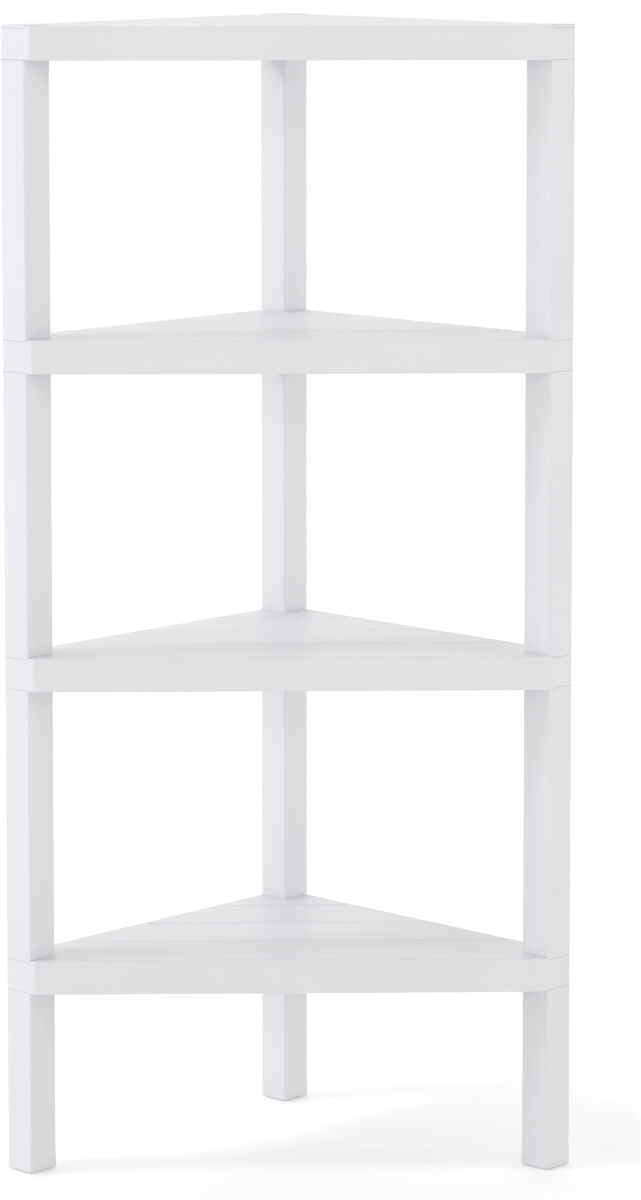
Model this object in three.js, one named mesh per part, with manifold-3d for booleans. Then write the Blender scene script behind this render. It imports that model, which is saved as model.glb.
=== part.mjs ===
// Corner shelf unit of white moulded plastic: four triangular shelves carried by
// three square posts on each tier, plugged together and free standing in a room corner.
// Lengths are millimetres. Z is up with the floor at zero, X runs along the front
// edge, and the back corner points to +Y.

import * as THREE from 'three';
import { mergeVertices } from 'three/addons/utils/BufferGeometryUtils.js';
import Module from 'manifold-3d';

const wasm = await Module();
wasm.setup();

// Plan of a shelf
const WALL_LENGTH = 470; // along each wall, from the back corner to the end face
const FRONT_REACH = 6; // front apron ahead of the near edges of the front posts
const FRONT_CORNER_RADIUS = 5;

// Heights that show, from the floor up
const LEG_SHOWN = 217;
const LOWER_POST_SHOWN = 319.5;
const MIDDLE_POST_SHOWN = 332.5;
const UPPER_POST_SHOWN = 322.6;
const SHELF_HEIGHT = 39.4;

// Posts and legs
const POST_SIDE = 40.6;
const POST_WALL = 2.8;
const POST_EDGE_RADIUS = 2.4;
const BORE_EDGE_RADIUS = 0.5; // least radius on any upright edge
const SHOULDER_WALL = 3; // floor of a post, around the mouth of its hollow spigot
const FOOT_FLARE = 0.6; // how far a foot widens on each side
const FOOT_FLARE_HEIGHT = 28;
const FOOT_ROUND = 1.8;
const FOOT_WALL = 3;
const RIM_RADIUS = 0.8; // round on the rims that meet at a seam

// Plugs and the gaps around them
const SPIGOT_REACH = 28; // how far a spigot enters the mouth of the post below
const SPIGOT_WALL = 2.4;
const LEAD_IN = 1; // how much a plug narrows on each side towards its tip
const LEAD_IN_HEIGHT = 3;
const FIT_GAP = 0.3; // between a plug and its socket, on each side
const SEAM_GAP = 0.3; // between pieces that rest on each other

// Shelf moulding
const DECK_SKIN = 2.6;
const DECK_EDGE_RADIUS = 1.5;
const SKIRT_WALL = 2.6;
const SEAT_DEPTH = 3; // posts and caps sit this far below the deck
const SOCKET_MARGIN = 3; // socket block beyond the post that stands on it
const RIB_WALL = 2;
const RIB_SETBACK = 2.8; // lower edges of the ribs above the rim of the skirt
const RIB_PITCH = 88; // between the ribs that run from front to back
const FIRST_PLANK = 98; // front edge to the first groove
const PLANK_PITCH = 90.5;
const GROOVE_COUNT = 3;
const RIM_GROOVE = 7; // front edge to the groove that parts the planks from the front rim
const GROOVE_RADIUS = 1.4;
const GROOVE_MARGIN = 6; // plain border between the ends of a groove and the wall sides

// Caps on the sockets of the top shelf
const CAP_STAND = 0.8; // how far a cap stands proud of the deck
const CAP_EDGE_RADIUS = 1.3;
const CAP_PLUG_LENGTH = 18;
const CAP_PLUG_WALL = 1.8;

const OVERRUN = 2; // how far a cutter passes the surface that it cuts

// How finely round stretches are drawn
const CORNER_STEPS = 4;
const RIM_STEPS = 2;
const GROOVE_SIDES = 8;

// Worked out from the sizes above
const SEAT_HEIGHT = SHELF_HEIGHT - SEAT_DEPTH;
const PLUG_INSET = POST_WALL + FIT_GAP;
const SPIGOT_LENGTH = SEAT_HEIGHT + SEAM_GAP + SEAM_GAP + SPIGOT_REACH;
const CAVITY_HEIGHT = SHELF_HEIGHT - DECK_SKIN;
const END_FACE = POST_SIDE + FRONT_REACH * Math.SQRT2;

// A place in the plan, given in the directions that halve the angles between the walls.
function diagonal(across, back) {
  return new THREE.Vector2(across, back).multiplyScalar(Math.SQRT1_2);
}

// The shelf outline, counter-clockwise from its front left corner.
const BACK_CORNER = diagonal(0, WALL_LENGTH + END_FACE);
const SHELF_CORNERS = [
  diagonal(END_FACE - WALL_LENGTH, 0),
  diagonal(WALL_LENGTH - END_FACE, 0),
  diagonal(WALL_LENGTH, END_FACE),
  BACK_CORNER,
  diagonal(-WALL_LENGTH, END_FACE),
];
const SHELF_RADII = [
  FRONT_CORNER_RADIUS,
  FRONT_CORNER_RADIUS,
  POST_EDGE_RADIUS,
  POST_EDGE_RADIUS,
  POST_EDGE_RADIUS,
];

// Middles of the three columns of posts, and the middle of a piece drawn by itself.
const COLUMNS = {
  left: diagonal(POST_SIDE - WALL_LENGTH, END_FACE),
  right: diagonal(WALL_LENGTH - POST_SIDE, END_FACE),
  back: diagonal(0, WALL_LENGTH + END_FACE - POST_SIDE),
};
const OWN_AXIS = new THREE.Vector2();

const TIERS = [
  { post: 'lower', shown: LOWER_POST_SHOWN, shelf: 'second' },
  { post: 'middle', shown: MIDDLE_POST_SHOWN, shelf: 'third' },
  { post: 'upper', shown: UPPER_POST_SHOWN, shelf: 'top' },
];

// A convex outline with rounded corners, moved inwards by inset.
function roundedOutline(corners, radii, inset) {
  const points = [];
  corners.forEach((corner, i) => {
    const before = corners.at(i - 1);
    const after = corners[(i + 1) % corners.length];
    const into = corner.clone().sub(before).normalize();
    const out = after.clone().sub(corner).normalize();
    const normalIn = new THREE.Vector2(-into.y, into.x);
    const normalOut = new THREE.Vector2(-out.y, out.x);
    const inwards = normalIn.clone().add(normalOut).divideScalar(1 + normalIn.dot(normalOut));
    const radius = Math.max(radii[i] - inset, BORE_EDGE_RADIUS);
    const centre = corner.clone().addScaledVector(inwards, inset + radius);
    const start = Math.atan2(-normalIn.y, -normalIn.x);
    const turn = Math.atan2(into.cross(out), into.dot(out));
    for (let step = 0; step <= CORNER_STEPS; step += 1) {
      const angle = start + (turn * step) / CORNER_STEPS;
      const arm = new THREE.Vector2(Math.cos(angle), Math.sin(angle));
      points.push(arm.multiplyScalar(radius).add(centre));
    }
  });
  return points;
}

// Profile of an upright wall between two heights.
function straight(low, high, inset) {
  return [
    { z: low, inset },
    { z: high, inset },
  ];
}

// Profile of a rim that rounds out from a lower end.
function rimAtStart(z, radius) {
  const rings = [];
  for (let step = 0; step <= RIM_STEPS; step += 1) {
    const angle = ((Math.PI / 2) * step) / RIM_STEPS;
    rings.push({ z: z + radius * (1 - Math.cos(angle)), inset: radius * (1 - Math.sin(angle)) });
  }
  return rings;
}

// Profile of a rim that rounds in to an upper end.
function rimAtEnd(z, radius) {
  const flipped = rimAtStart(0, radius).reverse();
  return flipped.map((ring) => ({ z: z - ring.z, inset: ring.inset }));
}

// A geometry as a solid that can be joined and cut.
function toSolid(geometry) {
  geometry.deleteAttribute('normal');
  geometry.deleteAttribute('uv');
  const merged = mergeVertices(geometry);
  const vertProperties = new Float32Array(merged.attributes.position.array);
  const triVerts = new Uint32Array(merged.index.array);
  return new wasm.Manifold(new wasm.Mesh({ numProp: 3, vertProperties, triVerts }));
}

// A solid as a geometry for a mesh.
function toGeometry(solid) {
  const { vertProperties, triVerts } = solid.getMesh();
  const geometry = new THREE.BufferGeometry();
  geometry.setAttribute('position', new THREE.BufferAttribute(vertProperties, 3));
  geometry.setIndex(new THREE.BufferAttribute(triVerts, 1));
  geometry.computeVertexNormals();
  return geometry;
}

function joinAll(solids) {
  return solids.reduce((all, solid) => all.add(solid));
}

// An upright body whose outline follows a profile of heights and insets.
function columnSolid(corners, radii, profile) {
  const outlines = profile.map(({ inset }) => roundedOutline(corners, radii, inset));
  const rings = outlines.map((outline, i) =>
    outline.map(({ x, y }) => new THREE.Vector3(x, y, profile[i].z)),
  );
  const count = rings[0].length;
  const top = (rings.length - 1) * count;
  const index = [];
  for (const [a, b, c] of THREE.ShapeUtils.triangulateShape(outlines[0], [])) {
    index.push(c, b, a);
  }
  for (const [a, b, c] of THREE.ShapeUtils.triangulateShape(outlines.at(-1), [])) {
    index.push(top + a, top + b, top + c);
  }
  for (let ring = 0; ring < top; ring += count) {
    for (let i = 0; i < count; i += 1) {
      const a = ring + i;
      const b = ring + ((i + 1) % count);
      index.push(a, b, b + count, a, b + count, a + count);
    }
  }
  const geometry = new THREE.BufferGeometry().setFromPoints(rings.flat());
  geometry.setIndex(index);
  return toSolid(geometry);
}

// A body with the plan of the shelf.
function shelfColumn(profile) {
  return columnSolid(SHELF_CORNERS, SHELF_RADII, profile);
}

// A body with the plan of a post, its sides along the two walls and each moved out by margin.
function squareColumn(centre, profile, margin = 0, radius = POST_EDGE_RADIUS + margin) {
  const side = POST_SIDE + margin + margin;
  const points = [diagonal(0, -side), diagonal(side, 0), diagonal(0, side), diagonal(-side, 0)];
  const corners = points.map((point) => point.add(centre));
  const radii = corners.map(() => radius);
  return columnSolid(corners, radii, profile);
}

// Ribs under the deck: one below each groove, and a row that runs from front to back.
function shelfRibs() {
  const height = CAVITY_HEIGHT + DECK_SKIN / 2 - RIB_SETBACK;
  const middle = RIB_SETBACK + height / 2;
  const ribs = [];
  for (let i = 0; i < GROOVE_COUNT; i += 1) {
    const rib = new THREE.BoxGeometry(WALL_LENGTH * 2, RIB_WALL, height);
    rib.translate(0, FIRST_PLANK + i * PLANK_PITCH, middle);
    ribs.push(toSolid(rib));
  }
  for (let x = RIB_PITCH / 2; x < COLUMNS.right.x - POST_SIDE; x += RIB_PITCH) {
    for (const side of [-1, 1]) {
      const rib = new THREE.BoxGeometry(RIB_WALL, BACK_CORNER.y * 2, height);
      rib.translate(side * x, 0, middle);
      ribs.push(toSolid(rib));
    }
  }
  const reach = shelfColumn(straight(0, SHELF_HEIGHT, SKIRT_WALL / 2));
  return joinAll(ribs).intersect(reach);
}

// A cutter for a round bottomed groove across the deck.
function groove(fromFront, length) {
  const cutter = new THREE.CylinderGeometry(GROOVE_RADIUS, GROOVE_RADIUS, length, GROOVE_SIDES);
  cutter.rotateZ(Math.PI / 2);
  cutter.translate(0, fromFront, SHELF_HEIGHT);
  return toSolid(cutter);
}

// The grooves that divide the deck into planks, and the one along the front rim, which runs
// into the seats of the front posts.
function shelfGrooves() {
  const grooves = [];
  for (let i = 0; i < GROOVE_COUNT; i += 1) {
    grooves.push(groove(FIRST_PLANK + i * PLANK_PITCH, WALL_LENGTH * 2));
  }
  const reach = shelfColumn(straight(0, SHELF_HEIGHT + OVERRUN, GROOVE_MARGIN));
  return joinAll(grooves).intersect(reach).add(groove(RIM_GROOVE, COLUMNS.right.x * 2));
}

// A shelf with its underside at zero: a tray turned over, with its deck set back around
// the seats of the posts, and a socket block through each corner.
function shelfSolid() {
  const centres = Object.values(COLUMNS);
  const lower = [...rimAtStart(0, RIM_RADIUS), ...rimAtEnd(SEAT_HEIGHT, RIM_RADIUS)];
  const upper = [{ z: SEAT_HEIGHT - SEAT_DEPTH, inset: 0 }, ...rimAtEnd(SHELF_HEIGHT, DECK_EDGE_RADIUS)];
  const base = shelfColumn(lower);
  const seats = centres.map((at) => squareColumn(at, straight(0, SHELF_HEIGHT + OVERRUN, 0), FIT_GAP));
  const deck = shelfColumn(upper).subtract(joinAll(seats));
  const cavity = shelfColumn(straight(-OVERRUN, CAVITY_HEIGHT, SKIRT_WALL));
  const block = straight(0, SEAT_HEIGHT, 0);
  const blocks = centres.map((at) => squareColumn(at, block, SOCKET_MARGIN, BORE_EDGE_RADIUS));
  const bores = centres.map((at) => squareColumn(at, straight(-OVERRUN, SHELF_HEIGHT, POST_WALL)));
  const tray = base.add(deck).subtract(cavity);
  const carried = tray.add(shelfRibs()).add(joinAll(blocks).intersect(base));
  return carried.subtract(joinAll(bores)).subtract(shelfGrooves());
}

// Adds a hollow plug below a body that rests on its seat at zero.
function addPlug(body, length, wall, boreEnd) {
  const tip = { z: -length, inset: PLUG_INSET + LEAD_IN };
  const plug = squareColumn(OWN_AXIS, [tip, ...straight(LEAD_IN_HEIGHT - length, RIM_RADIUS, PLUG_INSET)]);
  const bore = squareColumn(OWN_AXIS, straight(-length - OVERRUN, boreEnd, PLUG_INSET + wall));
  return body.add(plug).subtract(bore);
}

// A post with its shoulder at zero and its spigot below.
function postSolid(shown) {
  const height = shown + SEAT_DEPTH - SEAM_GAP - SEAM_GAP;
  const rims = [...rimAtStart(0, RIM_RADIUS), ...rimAtEnd(height, RIM_RADIUS)];
  const hollow = squareColumn(OWN_AXIS, straight(SHOULDER_WALL, height + OVERRUN, POST_WALL));
  const tube = squareColumn(OWN_AXIS, rims).subtract(hollow);
  return addPlug(tube, SPIGOT_LENGTH, SPIGOT_WALL, SHOULDER_WALL + OVERRUN);
}

// A leg with its foot at zero, closed below and open at its mouth.
function legSolid() {
  const height = LEG_SHOWN - SEAM_GAP;
  const foot = rimAtStart(0, FOOT_ROUND).map(({ z, inset }) => ({ z, inset: inset - FOOT_FLARE }));
  const flareEnd = { z: FOOT_FLARE_HEIGHT, inset: 0 };
  const outside = squareColumn(OWN_AXIS, [...foot, flareEnd, ...rimAtEnd(height, RIM_RADIUS)]);
  return outside.subtract(squareColumn(OWN_AXIS, straight(FOOT_WALL, height + OVERRUN, POST_WALL)));
}

// A cap with the underside of its plate at zero and its plug below.
function capSolid() {
  const height = SEAT_DEPTH + CAP_STAND - SEAM_GAP;
  const rims = [...rimAtStart(0, RIM_RADIUS), ...rimAtEnd(height, CAP_EDGE_RADIUS)];
  return addPlug(squareColumn(OWN_AXIS, rims), CAP_PLUG_LENGTH, CAP_PLUG_WALL, 0);
}

// The white polypropylene that every piece is moulded from.
function whitePlastic() {
  return new THREE.MeshStandardMaterial({ color: 0xeaeaed, roughness: 0.42, metalness: 0 });
}

function piece(name, solid, centre, z) {
  const mesh = new THREE.Mesh(toGeometry(solid), whitePlastic());
  mesh.name = name;
  mesh.position.set(centre.x, centre.y, z);
  return mesh;
}

// The same piece at each of the three corners.
function atCorners(name, solid, z) {
  return Object.entries(COLUMNS).map(([side, centre]) => piece(`${name}_${side}`, solid, centre, z));
}

function cornerShelfUnit() {
  const unit = new THREE.Group();
  const shelf = shelfSolid();
  const seat = SEAT_HEIGHT + SEAM_GAP;
  let level = LEG_SHOWN;
  unit.add(...atCorners('leg', legSolid(), 0));
  unit.add(piece('shelf_bottom', shelf, OWN_AXIS, level));
  for (const tier of TIERS) {
    unit.add(...atCorners(`post_${tier.post}`, postSolid(tier.shown), level + seat));
    level += SHELF_HEIGHT + tier.shown;
    unit.add(piece(`shelf_${tier.shelf}`, shelf, OWN_AXIS, level));
  }
  unit.add(...atCorners('cap', capSolid(), level + seat));

  // The origin is on the floor in the middle of the footprint.
  const middle = new THREE.Box3().setFromObject(unit).getCenter(new THREE.Vector3());
  unit.position.y = -middle.y;
  return unit;
}

export default cornerShelfUnit();
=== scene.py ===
import math

import bpy
from mathutils import Matrix, Vector


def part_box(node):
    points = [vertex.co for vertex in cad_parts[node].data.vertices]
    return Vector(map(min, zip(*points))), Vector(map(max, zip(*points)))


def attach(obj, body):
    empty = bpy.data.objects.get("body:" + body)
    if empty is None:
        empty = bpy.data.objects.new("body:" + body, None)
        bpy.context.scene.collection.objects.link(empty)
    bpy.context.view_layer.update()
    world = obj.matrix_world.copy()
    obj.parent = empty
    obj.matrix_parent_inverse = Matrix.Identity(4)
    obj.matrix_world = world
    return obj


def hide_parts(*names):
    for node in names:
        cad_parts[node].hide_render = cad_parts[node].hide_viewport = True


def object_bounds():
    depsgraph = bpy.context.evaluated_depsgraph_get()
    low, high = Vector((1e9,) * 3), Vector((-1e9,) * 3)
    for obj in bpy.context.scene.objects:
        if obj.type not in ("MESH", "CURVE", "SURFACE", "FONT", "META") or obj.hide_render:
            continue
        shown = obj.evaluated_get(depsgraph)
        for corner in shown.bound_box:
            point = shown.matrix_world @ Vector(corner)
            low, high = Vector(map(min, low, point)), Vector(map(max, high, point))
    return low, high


# The white moulded plastic corner shelf unit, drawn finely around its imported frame. The sizes
# of the mouldings are named below, and their heights above the floor come from the boxes of
# the nodes that they stand for. Mouldings are drawn in millimetres and finished in metres,
# and the studio around them is in metres.

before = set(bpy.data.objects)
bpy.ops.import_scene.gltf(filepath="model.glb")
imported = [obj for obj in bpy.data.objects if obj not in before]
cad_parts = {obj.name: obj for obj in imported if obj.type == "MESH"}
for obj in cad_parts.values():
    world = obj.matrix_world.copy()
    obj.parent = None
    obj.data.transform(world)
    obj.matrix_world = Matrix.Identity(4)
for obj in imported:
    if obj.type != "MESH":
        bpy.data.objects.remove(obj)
cad_box = [list(corner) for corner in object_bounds()]

MM = 0.001

# Plan of a shelf
WALL_LENGTH = 470.0  # along each wall, from the back corner to the end face
FRONT_REACH = 6.0  # front apron ahead of the near edges of the front posts
FRONT_CORNER_RADIUS = 5.0

# Posts and legs
POST_SIDE = 40.6
POST_WALL = 2.8
POST_EDGE_RADIUS = 2.4
LEAST_RADIUS = 0.5  # an inset leaves corners at least this round
SHOULDER_WALL = 3.0  # floor of a post, around the bore of its spigot
RIM_RADIUS = 0.8  # round on the rims that meet at a seam
FOOT_FLARE = 0.6  # how far a foot widens on each side
FOOT_FLARE_HEIGHT = 28.0
FOOT_ROUND = 0.6
FOOT_WALL = 3.0
SOLE_HEIGHT = 1.6
SOLE_SETBACK = 3.2

# Plugs and the gaps around them
SPIGOT_REACH = 28.0  # how far a spigot enters the mouth of the post below
SPIGOT_WALL = 2.4
LEAD_IN = 1.0  # how much a plug narrows on each side towards its tip
LEAD_IN_HEIGHT = 3.0
FIT_GAP = 0.3  # around a plug in its socket and around a post in its seat
SEAM_GAP = 0.3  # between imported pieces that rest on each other
SEAM_DRAWN_CLOSED = 0.2  # how much nearer to the shelves the rims at a seam are drawn

# Shelf moulding
SHELF_HEIGHT = 39.4
DECK_SKIN = 2.6
DECK_EDGE_RADIUS = 1.5
SKIRT_WALL = 2.6
SEAT_DEPTH = 3.0  # posts and caps sit this far below the deck
SEAT_EDGE_RADIUS = 0.5
SOCKET_MARGIN = 3.0  # socket block beyond the post that stands on it
RIB_WALL = 2.0
RIB_SETBACK = 2.8  # lower edges of the ribs above the rim of the skirt
RIB_PITCH = 88.0  # between the ribs that run from front to back

# Grooves in a deck
FIRST_PLANK = 98.0  # front edge to the first groove
PLANK_PITCH = 90.5
GROOVE_COUNT = 3
RIM_GROOVE = 7.0  # front edge to the groove along the front rim
GROOVE_RADIUS = 1.4
GROOVE_SHOULDER = 0.25
GROOVE_MARGIN = 6.0  # plain border between the ends of a groove and the wall sides

# Caps
CAP_EDGE_RADIUS = 1.3
CAP_PLUG_LENGTH = 18.0
CAP_PLUG_WALL = 1.8

OVERRUN = 2.0  # how far a cutter passes the surface that it cuts

# How finely round stretches are drawn
CORNER_STEPS = 8
RIM_STEPS = 5
GROOVE_STEPS = 6
SMOOTH_UP_TO = math.radians(34)  # faces that meet at less than this angle shade as one

# Plastic. Each noise is given as its features in a metre and its finer layers.
PLASTIC_IOR = 1.49
DARKEST_PLASTIC = (0.815, 0.813, 0.834, 1)
LIGHTEST_PLASTIC = (0.835, 0.833, 0.853, 1)
CLOUD_NOISE = (7.0, 3.0)
CLOUD_CONTRAST = (0.3, 0.7)  # levels of the noise at the darkest and lightest colour
SHEEN_NOISE = (60.0, 4.0)
SHEEN_ROUGHNESS = (0.3, 0.36)
WAVE_NOISE = (22.0, 1.0)
WAVE_STRENGTH = 0.35
WAVE_DEPTH = 0.4 * MM
GRAIN_NOISE = (900.0, 2.0)
GRAIN_STRENGTH = 0.05
GRAIN_DEPTH = 0.06 * MM

# Floor: its colour as the camera sees it and as it throws light on the unit, and a glow that
# grows between two distances from the unit and takes the floor to plain white
FLOOR_REACH = 60.0
FLOOR_SEEN = (0.93, 0.93, 0.93, 1)
FLOOR_LIT = (0.95, 0.95, 0.95, 1)
GLOW_FROM, GLOW_TO = 0.5, 2.2
GLOW_NEAR, GLOW_FAR = 0.24, 0.3

# Light from all round as shares of the brightest, for each eighth of a turn that starts at
# the left and goes by the front, the right and the back
BRIGHTEST = 2.08
LOW_BAND = (0.6, 0.75, 0.6, 0.8, 0.05, 0.75, 0.75, 0.05)
HIGH_BAND = (0.55, 0.15, 0.2, 0.2, 0.4, 0.75, 0.75, 0.65)
TOP_LIGHT = 0.2
WHITE = (1, 1, 1, 1)

# Where the low band goes over into the high one and that one into the top, as the height of
# the direction, which is 0 at the horizon and 1 straight up
LOW_TO_HIGH = (0.3, 0.45)
HIGH_TO_TOP = (0.72, 0.86)

# Two small square lamps that point near the middle of the unit, with their power in watts
LAMPS_POINT_AT = (0, 0, 0.7)
KEY_PLACE = (-5.21, -0.73, 4.52)
KEY_SIDE = 1.1
KEY_POWER = 74.0
KEY_COLOUR = (1.0, 0.97, 1.06)
FILL_PLACE = (5.08, -1.27, 2.4)
FILL_SIDE = 0.8
FILL_POWER = 23.0
FILL_COLOUR = (1.0, 1.0, 1.0)

# The camera, fitted to the edges of the unit in the photograph, with the largest shift that
# keeps the whole unit in the frame from all sides
CAMERA_PLACE = (-0.09634, -5.47315, 1.57701)
CAMERA_PITCH = 6.0124  # degrees below level
CAMERA_YAW = 1.437  # degrees to the right of the Y axis
CAMERA_SHIFT = -0.24  # share of the height of the frame
FOCAL_PIXELS = 4613.76
FRAME_HEIGHT_PIXELS = 1200
SENSOR_HEIGHT = 36.0  # the lens is worked out for it

# Worked out from the sizes above
SEAT_HEIGHT = SHELF_HEIGHT - SEAT_DEPTH
PLUG_INSET = POST_WALL + FIT_GAP
SPIGOT_LENGTH = SEAT_HEIGHT + 2 * SEAM_GAP + SPIGOT_REACH
CAVITY_HEIGHT = SHELF_HEIGHT - DECK_SKIN
END_FACE = POST_SIDE + FRONT_REACH * math.sqrt(2)
GROOVE_LINES = [FIRST_PLANK + i * PLANK_PITCH for i in range(GROOVE_COUNT)]

SHELVES = ("bottom", "second", "third", "top")
TIERS = ("lower", "middle", "upper")
SIDES = ("left", "right", "back")

# Places in the plan of a shelf, whose front edge lies at zero


def diagonal(across, back):
    """A place from the difference and the sum of its lengths along the two walls."""
    return Vector((across, back)) * math.sqrt(0.5)


BACK_CORNER = diagonal(0, WALL_LENGTH + END_FACE)
SHELF_CORNERS = [
    diagonal(END_FACE - WALL_LENGTH, 0),
    diagonal(WALL_LENGTH - END_FACE, 0),
    diagonal(WALL_LENGTH, END_FACE),
    BACK_CORNER,
    diagonal(-WALL_LENGTH, END_FACE),
]
SHELF_RADII = [FRONT_CORNER_RADIUS] * 2 + [POST_EDGE_RADIUS] * 3
COLUMNS = {
    "left": diagonal(POST_SIDE - WALL_LENGTH, END_FACE),
    "right": diagonal(WALL_LENGTH - POST_SIDE, END_FACE),
    "back": diagonal(0, WALL_LENGTH + END_FACE - POST_SIDE),
}
OWN_AXIS = Vector((0, 0))

# Profiles of upright bodies, as pairs of height and inset


def quarter_turn(steps):
    """Angles from zero to a right angle."""
    return [math.pi / 2 * step / steps for step in range(steps + 1)]


def straight(low, high, inset):
    """An upright wall between two heights."""
    return [(low, inset), (high, inset)]


def rim_at_start(z, radius):
    """A rim that rounds out from a lower end."""
    turn = quarter_turn(RIM_STEPS)
    return [(z + radius * (1 - math.cos(a)), radius * (1 - math.sin(a))) for a in turn]


def rim_at_end(z, radius):
    """A rim that rounds in to an upper end."""
    return [(z - height, inset) for height, inset in reversed(rim_at_start(0, radius))]


def flare_at_end(z, radius):
    """The end of a cutter that rounds over the edge of the hole that it leaves at z."""
    turn = quarter_turn(RIM_STEPS)
    return [(z - radius * (1 - math.sin(a)), -radius * (1 - math.cos(a))) for a in turn]


# Solids


def solid(vertices, faces):
    """A body from its corners and faces."""
    mesh = bpy.data.meshes.new("solid")
    mesh.from_pydata(vertices, [], faces)
    body = bpy.data.objects.new("solid", mesh)
    bpy.context.scene.collection.objects.link(body)
    return body


def rounded_outline(corners, radii, inset):
    """A convex outline with rounded corners, moved inwards by inset."""
    points = []
    for i, corner in enumerate(corners):
        into = (corner - corners[i - 1]).normalized()
        out = (corners[(i + 1) % len(corners)] - corner).normalized()
        normal_in = Vector((-into.y, into.x))
        normal_out = Vector((-out.y, out.x))
        inwards = (normal_in + normal_out) / (1 + normal_in.dot(normal_out))
        radius = max(radii[i] - inset, LEAST_RADIUS)
        centre = corner + inwards * (inset + radius)
        start = math.atan2(-normal_in.y, -normal_in.x)
        turn = math.atan2(into.x * out.y - into.y * out.x, into.dot(out))
        for step in range(CORNER_STEPS + 1):
            angle = start + turn * step / CORNER_STEPS
            points.append(centre + radius * Vector((math.cos(angle), math.sin(angle))))
    return points


def column(corners, radii, profile):
    """An upright body whose outline follows a profile of heights and insets."""
    outlines = [rounded_outline(corners, radii, inset) for _, inset in profile]
    vertices = [(p.x, p.y, z) for (z, _), outline in zip(profile, outlines) for p in outline]
    count = len(outlines[0])
    top = (len(profile) - 1) * count
    faces = [tuple(reversed(range(count))), tuple(range(top, top + count))]
    for ring in range(0, top, count):
        for i in range(count):
            a, b = ring + i, ring + (i + 1) % count
            faces.append((a, b, b + count, a + count))
    return solid(vertices, faces)


def shelf_column(profile):
    """A body with the plan of a shelf."""
    return column(SHELF_CORNERS, SHELF_RADII, profile)


def square_column(centre, profile, margin=0.0, radius=None):
    """A body with the plan of a post, moved out by margin, whose corners may differ in radius."""
    side = POST_SIDE + 2 * margin
    points = [diagonal(0, -side), diagonal(side, 0), diagonal(0, side), diagonal(-side, 0)]
    radii = [POST_EDGE_RADIUS + margin if radius is None else radius] * 4
    return column([centre + point for point in points], radii, profile)


def block(low, high):
    """A box between two corners."""
    heights = (low[2], high[2])
    corners = [(x, y, z) for z in heights for y in (low[1], high[1]) for x in (low[0], high[0])]
    faces = [(0, 2, 3, 1), (4, 5, 7, 6), (0, 1, 5, 4), (2, 6, 7, 3), (0, 4, 6, 2), (1, 3, 7, 5)]
    return solid(corners, faces)


def combine(body, tools, operation):
    """Joins, cuts or meets a body with each of the tools, which are used up."""
    for tool in tools:
        step = body.modifiers.new("step", "BOOLEAN")
        step.operation = operation
        step.solver = "MANIFOLD"
        step.object = tool
        evaluated = body.evaluated_get(bpy.context.evaluated_depsgraph_get())
        mesh = bpy.data.meshes.new_from_object(evaluated)
        body.modifiers.clear()
        body.data = mesh
        bpy.data.objects.remove(tool)
    return body


def join(body, *tools):
    return combine(body, tools, "UNION")


def cut(body, *tools):
    return combine(body, tools, "DIFFERENCE")


def meet(body, tool):
    return combine(body, [tool], "INTERSECT")


# Shelf


def shelf_ribs():
    """A rib below each groove, and a row of ribs that run from front to back."""
    low, high = RIB_SETBACK, CAVITY_HEIGHT + DECK_SKIN / 2
    half = RIB_WALL / 2
    ribs = [block((-WALL_LENGTH, y - half, low), (WALL_LENGTH, y + half, high)) for y in GROOVE_LINES]
    x = RIB_PITCH / 2
    while x < COLUMNS["right"].x - POST_SIDE:
        for at in (-x, x):
            ribs.append(block((at - half, -BACK_CORNER.y, low), (at + half, BACK_CORNER.y, high)))
        x += RIB_PITCH
    return meet(join(*ribs), shelf_column(straight(0, SHELF_HEIGHT, SKIRT_WALL / 2)))


def groove_outline():
    """Half of a groove's section, from the deck beside it down to its middle."""
    turn = quarter_turn(GROOVE_STEPS)
    edge = GROOVE_RADIUS + GROOVE_SHOULDER
    depth = GROOVE_RADIUS - GROOVE_SHOULDER
    shoulder = [
        (edge - GROOVE_SHOULDER * math.sin(a), GROOVE_SHOULDER * (math.cos(a) - 1)) for a in turn
    ]
    wall = [(GROOVE_RADIUS * math.cos(a), -GROOVE_SHOULDER - depth * math.sin(a)) for a in turn]
    return shoulder + wall[1:]


def groove(y, reach):
    """A cutter for a groove with soft shoulders across the deck, which reaches as far each way."""
    right = groove_outline()
    section = [(right[0][0], OVERRUN)] + right + [(-x, z) for x, z in reversed(right[:-1])]
    section.append((-right[0][0], OVERRUN))
    count = len(section)
    vertices = [(x, y + across, SHELF_HEIGHT + z) for x in (-reach, reach) for across, z in section]
    faces = [tuple(range(count)), tuple(reversed(range(count, 2 * count)))]
    for a in range(count):
        b = (a + 1) % count
        faces.append((b, a, a + count, b + count))
    return solid(vertices, faces)


def shelf_grooves():
    """Grooves between the planks, which run out before the wall sides, and one along the rim."""
    planks = join(*[groove(y, WALL_LENGTH) for y in GROOVE_LINES])
    run_out = [(SHELF_HEIGHT + z, GROOVE_MARGIN - z) for z in (-OVERRUN, OVERRUN)]
    return join(meet(planks, shelf_column(run_out)), groove(RIM_GROOVE, COLUMNS["right"].x))


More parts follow.
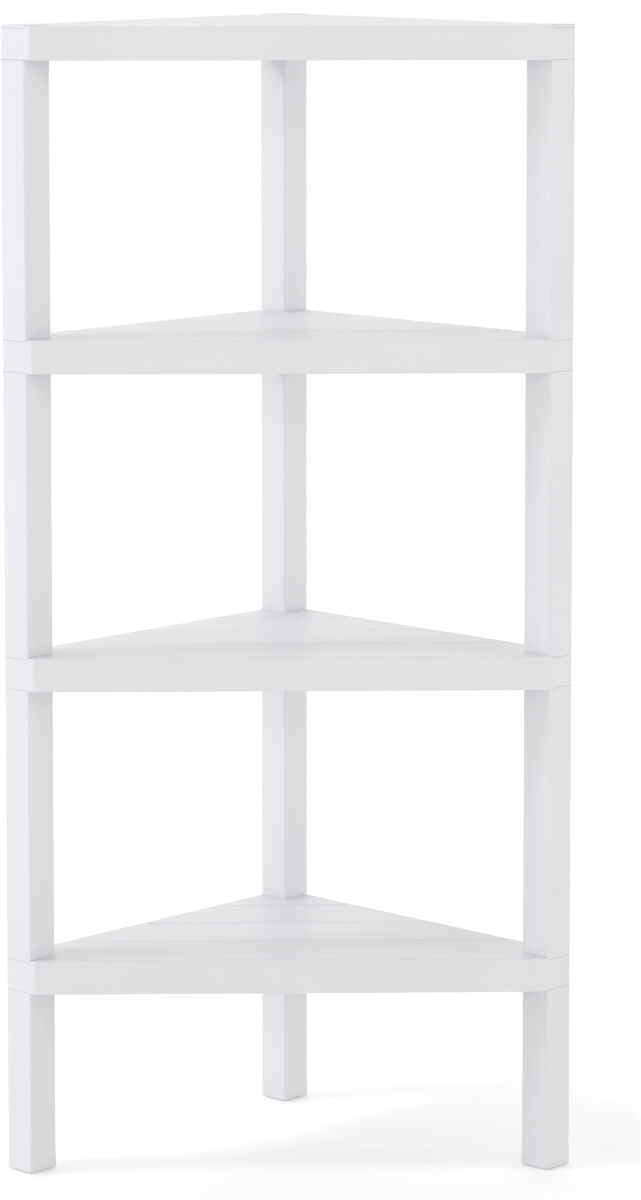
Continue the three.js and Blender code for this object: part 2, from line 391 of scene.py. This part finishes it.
def shelf_solid():
    """A tray turned over, with seats in its deck and a socket block through each corner."""
    centres = list(COLUMNS.values())
    lower = rim_at_start(0, RIM_RADIUS) + rim_at_end(SEAT_HEIGHT, RIM_RADIUS)
    upper = [(SEAT_HEIGHT - SEAT_DEPTH, 0.0)] + rim_at_end(SHELF_HEIGHT, DECK_EDGE_RADIUS)
    seat = [(0.0, 0.0)] + flare_at_end(SHELF_HEIGHT, SEAT_EDGE_RADIUS)
    seat.append((SHELF_HEIGHT + OVERRUN, seat[-1][1]))
    seats = [square_column(at, seat, FIT_GAP) for at in centres]
    deck = cut(shelf_column(upper), *seats)
    tray = join(shelf_column(lower), deck)
    cut(tray, shelf_column(straight(-OVERRUN, CAVITY_HEIGHT, SKIRT_WALL)))
    blocks = []
    for at in centres:
        socket = square_column(at, straight(0, SEAT_HEIGHT, 0), SOCKET_MARGIN, LEAST_RADIUS)
        blocks.append(meet(socket, shelf_column(lower)))
    join(tray, shelf_ribs(), *blocks)
    bores = [square_column(at, straight(-OVERRUN, SHELF_HEIGHT, POST_WALL)) for at in centres]
    return cut(tray, *bores, shelf_grooves())


# Posts, legs and caps


def add_plug(body, length, wall, bore_end):
    """Adds a hollow plug below a body that rests on its seat at zero."""
    tip = [(-length, PLUG_INSET + LEAD_IN)]
    plug = square_column(OWN_AXIS, tip + straight(LEAD_IN_HEIGHT - length, RIM_RADIUS, PLUG_INSET))
    bore = square_column(OWN_AXIS, straight(-length - OVERRUN, bore_end, PLUG_INSET + wall))
    return cut(join(body, plug), bore)


def post_solid(height):
    """A tube with its shoulder at zero and its spigot below."""
    rims = rim_at_start(-SEAM_DRAWN_CLOSED, RIM_RADIUS)
    rims += rim_at_end(height + SEAM_DRAWN_CLOSED, RIM_RADIUS)
    hollow = square_column(OWN_AXIS, straight(SHOULDER_WALL, height + OVERRUN, POST_WALL))
    tube = cut(square_column(OWN_AXIS, rims), hollow)
    return add_plug(tube, SPIGOT_LENGTH, SPIGOT_WALL, SHOULDER_WALL + OVERRUN)


def leg_solid(height):
    """A tube on a thin sole, set back, that leaves a dark line above the floor."""
    sole = straight(0, SOLE_HEIGHT, SOLE_SETBACK)
    foot = [(z, inset - FOOT_FLARE) for z, inset in rim_at_start(SOLE_HEIGHT, FOOT_ROUND)]
    rim = rim_at_end(height + SEAM_DRAWN_CLOSED, RIM_RADIUS)
    outside = sole + foot + [(FOOT_FLARE_HEIGHT, 0.0)] + rim
    hollow = square_column(OWN_AXIS, straight(FOOT_WALL, height + OVERRUN, POST_WALL))
    return cut(square_column(OWN_AXIS, outside), hollow)


def cap_solid(height):
    """A plate with its underside at zero and its plug below."""
    rims = rim_at_start(-SEAM_DRAWN_CLOSED, RIM_RADIUS) + rim_at_end(height, CAP_EDGE_RADIUS)
    return add_plug(square_column(OWN_AXIS, rims), CAP_PLUG_LENGTH, CAP_PLUG_WALL, 0.0)


# Materials


class Nodes:
    """The node tree of a material or a world, with short ways to add and link nodes."""

    def __init__(self, owner):
        self.owner = owner
        owner.use_nodes = True
        self.tree = owner.node_tree
        self.tree.nodes.clear()

    def add(self, kind, inputs=None, **settings):
        """A node with its settings, whose inputs are values or the outputs of other nodes."""
        node = self.tree.nodes.new(kind)
        for key, value in settings.items():
            setattr(node, key, value)
        for key, value in (inputs or {}).items():
            if isinstance(value, bpy.types.NodeSocket):
                self.tree.links.new(value, node.inputs[key])
            else:
                node.inputs[key].default_value = value
        return node

    def calculate(self, operation, *values):
        """The result of an operation on numbers or the outputs of other nodes."""
        return self.add("ShaderNodeMath", dict(enumerate(values)), operation=operation).outputs["Value"]

    def noise(self, place, features, layers):
        """Noise with so many features in a metre and so many finer layers."""
        inputs = {"Vector": place, "Scale": features, "Detail": layers}
        return self.add("ShaderNodeTexNoise", inputs).outputs["Fac"]

    def seen(self):
        """One for rays from the camera, in a reflection or through glass, and zero for others."""
        rays = self.add("ShaderNodeLightPath").outputs
        direct_or_glossy = self.calculate("MAXIMUM", rays["Is Camera Ray"], rays["Is Glossy Ray"])
        return self.calculate("MAXIMUM", direct_or_glossy, rays["Is Transmission Ray"])

    def material(self, shader):
        """Ends the tree in a surface and gives back its material."""
        self.add("ShaderNodeOutputMaterial", {"Surface": shader})
        return self.owner


def make_white_plastic():
    """White polypropylene: faintly clouded and wavy, with a fine grain and a satin sheen."""
    n = Nodes(bpy.data.materials.new("satin_white_plastic"))
    place = n.add("ShaderNodeTexCoord").outputs["Object"]
    ramp = n.add("ShaderNodeValToRGB", {"Fac": n.noise(place, *CLOUD_NOISE)})
    colours = (DARKEST_PLASTIC, LIGHTEST_PLASTIC)
    for stop, position, colour in zip(ramp.color_ramp.elements, CLOUD_CONTRAST, colours):
        stop.position = position
        stop.color = colour
    least, most = SHEEN_ROUGHNESS
    roughness = n.add(
        "ShaderNodeMapRange",
        {"Value": n.noise(place, *SHEEN_NOISE), "To Min": least, "To Max": most},
    )
    wavy = n.add(
        "ShaderNodeBump",
        {
            "Height": n.noise(place, *WAVE_NOISE),
            "Strength": WAVE_STRENGTH,
            "Distance": WAVE_DEPTH,
        },
    )
    grained = n.add(
        "ShaderNodeBump",
        {
            "Height": n.noise(place, *GRAIN_NOISE),
            "Strength": GRAIN_STRENGTH,
            "Distance": GRAIN_DEPTH,
            "Normal": wavy.outputs["Normal"],
        },
    )
    shader = n.add(
        "ShaderNodeBsdfPrincipled",
        {
            "Base Color": ramp.outputs["Color"],
            "Roughness": roughness.outputs["Result"],
            "IOR": PLASTIC_IOR,
            "Normal": grained.outputs["Normal"],
        },
    )
    return n.material(shader.outputs["BSDF"])


PLASTIC = make_white_plastic()

# Pieces


def finished_mesh(body, name):
    """Turns a solid into a mesh in metres with smooth rounds and flat faces."""
    mesh = body.data
    mesh.transform(Matrix.Scale(MM, 4))
    for polygon in mesh.polygons:
        polygon.use_smooth = True
    mesh.set_sharp_from_angle(angle=SMOOTH_UP_TO)
    weights = body.modifiers.new("flat faces", "WEIGHTED_NORMAL")
    weights.keep_sharp = True
    evaluated = body.evaluated_get(bpy.context.evaluated_depsgraph_get())
    finished = bpy.data.meshes.new_from_object(evaluated)
    finished.name = name
    finished.materials.clear()
    finished.materials.append(PLASTIC)
    bpy.data.objects.remove(body)
    return finished


def piece(name, mesh, x, y, z, node):
    """A copy of a moulding in its place behind the front edge, which stands for a node."""
    front_edge = cad_box[0][1]
    own = mesh.copy()
    own.transform(Matrix.Translation((x, front_edge + y, z)))
    body = bpy.data.objects.new(name, own)
    bpy.context.scene.collection.objects.link(body)
    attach(body, "root")
    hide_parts(node)


def at_corners(name, suffix, make, plug_length):
    """One moulding at each corner, whose height above its seat comes from its node's box."""
    low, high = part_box(f"{name}_{SIDES[0]}")
    seat = low.z + plug_length * MM
    mesh = finished_mesh(make((high.z - seat) / MM), name)
    for side in SIDES:
        x, y = COLUMNS[side] * MM
        piece(f"{name}_{side}_{suffix}", mesh, x, y, seat, f"{name}_{side}")


shelf_mesh = finished_mesh(shelf_solid(), "shelf")
for level in SHELVES:
    node = f"shelf_{level}"
    piece(f"{node}_moulding", shelf_mesh, 0, 0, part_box(node)[0].z, node)

at_corners("leg", "tube", leg_solid, 0)
for tier in TIERS:
    at_corners(f"post_{tier}", "tube", post_solid, SPIGOT_LENGTH)
at_corners("cap", "plate", cap_solid, CAP_PLUG_LENGTH)

# Studio


def make_floor():
    """Pale floor that fades to white away from the unit and keeps its shadow."""
    n = Nodes(bpy.data.materials.new("pale_floor"))
    place = n.add("ShaderNodeTexCoord").outputs["Object"]
    away = n.add("ShaderNodeVectorMath", {0: place}, operation="LENGTH")
    glow = n.add(
        "ShaderNodeMapRange",
        {
            "Value": away.outputs["Value"],
            "From Min": GLOW_FROM,
            "From Max": GLOW_TO,
            "To Min": GLOW_NEAR,
            "To Max": GLOW_FAR,
        },
    )
    lit = n.add("ShaderNodeBsdfDiffuse", {"Color": FLOOR_LIT})
    pale = n.add("ShaderNodeBsdfDiffuse", {"Color": FLOOR_SEEN})
    shine = n.add("ShaderNodeEmission", {"Strength": glow.outputs["Result"]})
    both = n.add("ShaderNodeAddShader", {0: pale.outputs["BSDF"], 1: shine.outputs["Emission"]})
    shader = n.add(
        "ShaderNodeMixShader",
        {0: n.seen(), 1: lit.outputs["BSDF"], 2: both.outputs["Shader"]},
    )
    corners = ((-1, -1), (1, -1), (1, 1), (-1, 1))
    floor = solid([(x * FLOOR_REACH, y * FLOOR_REACH, 0) for x, y in corners], [(0, 1, 2, 3)])
    floor.name = "floor"
    floor.data.materials.append(n.material(shader.outputs["Shader"]))


def light_band(n, around, shares):
    """Light of a band of the studio, one stop for each eighth of a turn from the left."""
    ramp = n.add("ShaderNodeValToRGB", {"Fac": around})
    stops = ramp.color_ramp.elements
    for i, share in enumerate(shares):
        stop = stops.new((i + 0.5) / len(shares))
        stop.color = (share, share, share, 1)
    # A new ramp has a stop at each end, which this one doesn't need
    stops.remove(stops[-1])
    stops.remove(stops[0])
    return ramp.outputs["Color"]


def blend(n, height, limits, below, above):
    """Goes over from one value to another between two heights in the studio."""
    edges = {"Value": height, "From Min": limits[0], "From Max": limits[1]}
    rise = n.add("ShaderNodeMapRange", edges, interpolation_type="SMOOTHSTEP")
    mix = n.add("ShaderNodeMix", {0: rise.outputs["Result"], 2: below, 3: above})
    return mix.outputs[0]


def make_world():
    """White for rays that are seen, and soft light that depends on its direction for others."""
    n = Nodes(bpy.data.worlds.new("studio"))
    bpy.context.scene.world = n.owner
    way = n.add("ShaderNodeTexCoord").outputs["Generated"]
    x, y, z = n.add("ShaderNodeSeparateXYZ", {0: way}).outputs
    turn = {"Value": n.calculate("ARCTAN2", y, x), "From Min": -math.pi, "From Max": math.pi}
    around = n.add("ShaderNodeMapRange", turn).outputs["Result"]
    low, high = light_band(n, around, LOW_BAND), light_band(n, around, HIGH_BAND)
    sides = blend(n, z, LOW_TO_HIGH, low, high)
    dome = blend(n, z, HIGH_TO_TOP, sides, TOP_LIGHT)
    lit = n.add("ShaderNodeBackground", {"Color": dome, "Strength": BRIGHTEST})
    white = n.add("ShaderNodeBackground", {"Color": WHITE, "Strength": 1.0})
    mix = n.add("ShaderNodeMixShader", {0: n.seen(), 1: lit.outputs[0], 2: white.outputs[0]})
    n.add("ShaderNodeOutputWorld", {"Surface": mix.outputs["Shader"]})


def make_lamp(name, place, side, power, colour):
    """A square lamp that points near the middle of the unit."""
    light = bpy.data.lights.new(name, "AREA")
    light.shape = "SQUARE"
    light.size = side
    light.energy = power
    light.color = colour
    lamp = bpy.data.objects.new(name, light)
    lamp.location = place
    way = Vector(LAMPS_POINT_AT) - Vector(place)
    lamp.rotation_euler = way.to_track_quat("-Z", "Y").to_euler()
    bpy.context.scene.collection.objects.link(lamp)


def make_camera():
    """The camera, whose sensor width stands for the longer side of the frame, its height."""
    camera = bpy.data.cameras.new("camera")
    camera.sensor_width = SENSOR_HEIGHT
    camera.lens = SENSOR_HEIGHT * FOCAL_PIXELS / FRAME_HEIGHT_PIXELS
    camera.shift_y = CAMERA_SHIFT
    viewer = bpy.data.objects.new("camera", camera)
    viewer.location = CAMERA_PLACE
    viewer.rotation_euler = (math.radians(90 - CAMERA_PITCH), 0, math.radians(-CAMERA_YAW))
    bpy.context.scene.collection.objects.link(viewer)
    bpy.context.scene.camera = viewer


make_floor()
make_world()
make_lamp("key", KEY_PLACE, KEY_SIDE, KEY_POWER, KEY_COLOUR)
make_lamp("fill", FILL_PLACE, FILL_SIDE, FILL_POWER, FILL_COLOUR)
make_camera()
bpy.context.scene.view_settings.view_transform = "Standard"
